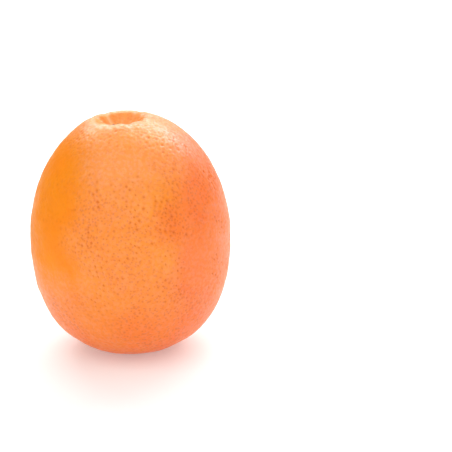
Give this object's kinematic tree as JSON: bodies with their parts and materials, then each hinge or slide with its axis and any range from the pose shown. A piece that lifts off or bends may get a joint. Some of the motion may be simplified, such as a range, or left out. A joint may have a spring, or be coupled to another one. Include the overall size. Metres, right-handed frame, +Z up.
{
  "type": "mandarin",
  "caption": "Whole unpeeled mandarin with a pitted orange rind, a furrowed hollow and dry calyx at the stem end, and a small flat spot to rest on.",
  "frame": {"origin": "on the surface it rests on, under the middle of the fruit's bounding box, inside the flat spot at the blossom end", "axes": "+Z up from the blossom end to the stem end; -Y towards the picture's camera; +X to the right in the picture"},
  "size_m": [0.0552, 0.0542, 0.0661],
  "materials": {
    "rind": "waxy orange citrus rind, pitted, with a broad soft sheen",
    "dry_calyx": "dry, fibrous, dull green-brown"
  },
  "bodies": {
    "root": {"fruit": "rind", "calyx_button": "dry_calyx"}
  },
  "joints": []
}
